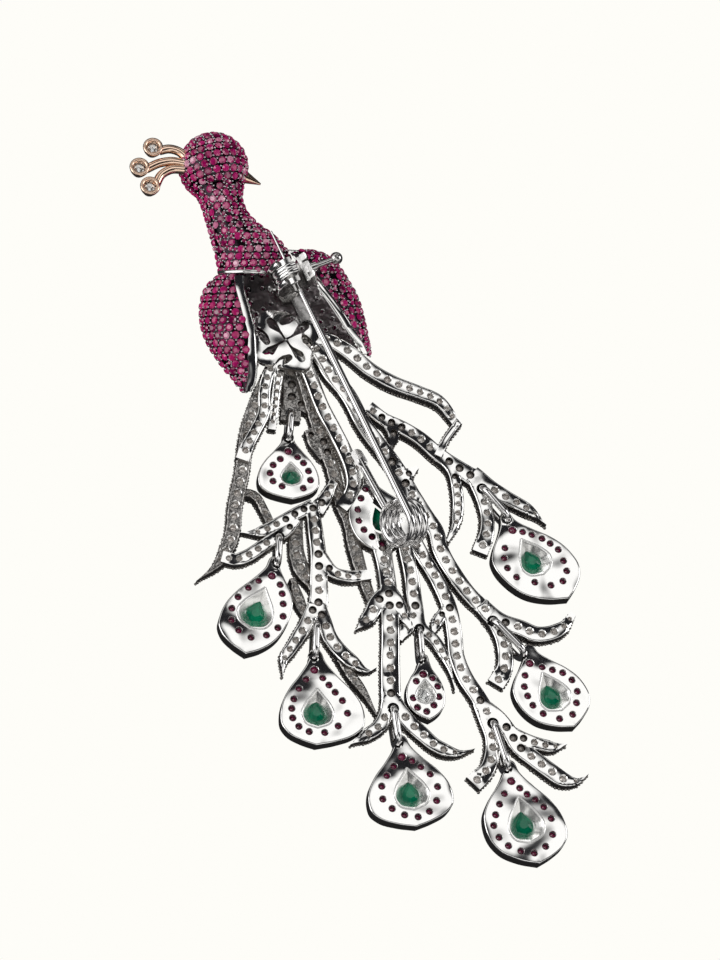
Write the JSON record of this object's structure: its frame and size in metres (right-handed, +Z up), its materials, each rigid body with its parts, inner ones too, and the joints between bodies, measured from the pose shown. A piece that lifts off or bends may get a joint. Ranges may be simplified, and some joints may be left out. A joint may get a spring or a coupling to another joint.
{
  "type": "peacock brooch",
  "caption": "Peacock brooch in white gold, ruby and emerald, lying on its face with the pin and safety catch up.",
  "frame": {"origin": "middle of the brooch's outline, on the table it lies on", "axes": "+Y to the bird's head, +X to the right as seen from the back, +Z up out of the back"},
  "size_m": [0.0578, 0.094, 0.0122],
  "materials": {
    "white_gold": "polished",
    "pin_gold": "polished",
    "blackened_gold": "polished",
    "rose_gold": "polished",
    "ruby": "polished",
    "emerald": "polished",
    "diamond": "polished"
  },
  "bodies": {
    "brooch": {"beak": "rose_gold", "bird_body": "blackened_gold", "catch_housing": "pin_gold", "crest": "rose_gold", "crest_diamond_1": "diamond", "crest_diamond_2": "diamond", "crest_diamond_3": "diamond", "drop_plate_1": "white_gold", "drop_plate_2": "white_gold", "drop_plate_3": "white_gold", "drop_plate_4": "white_gold", "drop_plate_5": "white_gold", "drop_plate_6": "white_gold", "drop_plate_7": "white_gold", "drop_plate_8": "white_gold", "drop_rubies": "ruby", "emerald_1": "emerald", "emerald_2": "emerald", "emerald_3": "emerald", "emerald_4": "emerald", "emerald_5": "emerald", "emerald_6": "emerald", "emerald_7": "emerald", "emerald_8": "diamond", "emerald_9": "emerald", "gallery_plate": "white_gold", "jump_ring_1": "white_gold", "jump_ring_2": "white_gold", "jump_ring_3": "white_gold", "jump_ring_4": "white_gold", "jump_ring_5": "white_gold", "jump_ring_6": "white_gold", "jump_ring_7": "white_gold", "jump_ring_8": "white_gold", "pin_spring": "pin_gold", "tail_frame": "white_gold", "wing_left": "blackened_gold", "wing_right": "blackened_gold"},
    "pin": {"pin_stem": "pin_gold"},
    "catch_rotor": {"catch_lever": "pin_gold"}
  },
  "joints": [
    {"name": "pin_hinge", "type": "hinge", "parent": "brooch", "child": "pin", "pos_m": [0.00454, -0.00561, 0.00754], "axis": [0.8001, 0.3735, -0.4695], "range_deg": [0, 50]},
    {"name": "catch_turn", "type": "hinge", "parent": "brooch", "child": "catch_rotor", "pos_m": [-0.00898, 0.02612, 0.00975], "axis": [0.423, -0.9061, 0], "range_deg": [0, 100]}
  ]
}
